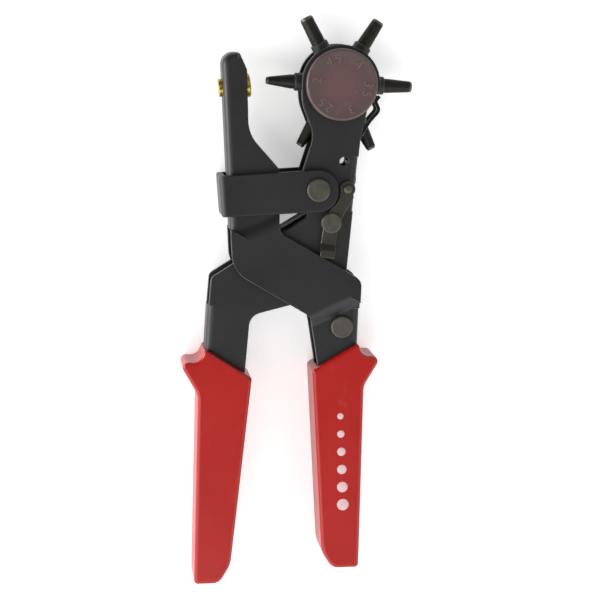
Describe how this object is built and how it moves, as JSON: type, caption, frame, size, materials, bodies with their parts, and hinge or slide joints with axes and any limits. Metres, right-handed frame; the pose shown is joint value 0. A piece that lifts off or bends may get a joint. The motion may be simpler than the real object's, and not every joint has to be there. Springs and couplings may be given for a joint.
{
  "type": "rotary hole punch",
  "caption": "Compound-lever rotary punch for leather and belts: a wheel of hollow punch tubes closes on a brass anvil, with red handle grips.",
  "frame": {"origin": "under the middle of the tool's box, on the plane that it lies on", "axes": "+Y towards the jaws, +X towards the right handle, +Z out of the front face, which carries the number cap"},
  "size_m": [0.103, 0.2546, 0.0262],
  "materials": {
    "black_plate": "satin black paint",
    "red_grip": "smooth semi-gloss moulded plastic",
    "dark_rivet": "blackened steel",
    "spring_steel": "drawn spring wire and strip",
    "plain_steel": "plain steel",
    "latch_steel": "dull zinc-grey steel",
    "brass": "turned brass",
    "brown_cap": "satin dark brown plastic",
    "blackened_drum": "satin blackened casting",
    "blackened_tube": "blackened turned steel"
  },
  "bodies": {
    "punch_lever": {"punch_lever_front": "black_plate", "punch_lever_back": "black_plate", "left_grip": "red_grip", "pivot_rivet": "dark_rivet", "pivot_spacers": "plain_steel", "opening_spring": "spring_steel", "click_spring": "spring_steel", "click_spring_rivet": "dark_rivet", "latch_rivet": "dark_rivet", "latch_washer": "dark_rivet"},
    "anvil_lever": {"anvil_lever_front": "black_plate", "anvil_lever_back": "black_plate", "right_grip": "red_grip", "anvil": "brass", "strap": "black_plate", "tie_link": "plain_steel", "lower_rivet": "dark_rivet"},
    "wheel": {"drum": "blackened_drum", "number_cap": "brown_cap", "wheel_axle": "dark_rivet", "punch_tube_2_0": "blackened_tube", "punch_tube_4_5": "blackened_tube", "punch_tube_4_0": "blackened_tube", "punch_tube_3_5": "blackened_tube", "punch_tube_3_0": "blackened_tube", "punch_tube_2_5": "blackened_tube"},
    "latch": {"latch": "latch_steel", "latch_stud": "dark_rivet"}
  },
  "joints": [
    {"name": "main_pivot", "type": "hinge", "parent": "punch_lever", "child": "anvil_lever", "pos_m": [0.00871, 0.05137, 0.0125], "axis": [0, 0, -1], "range_deg": [-9, 8.4], "stiffness_Nm_per_rad": 0.4, "deforming": ["opening_spring"]},
    {"name": "wheel_turn", "type": "hinge", "parent": "punch_lever", "child": "wheel", "pos_m": [0.01891, 0.09747, 0.0125], "axis": [0, 0, 1], "continuous": true},
    {"name": "latch_turn", "type": "hinge", "parent": "punch_lever", "child": "latch", "pos_m": [0.01461, 0.03667, 0.0125], "axis": [0, 0, -1], "range_deg": [0, 20]}
  ]
}
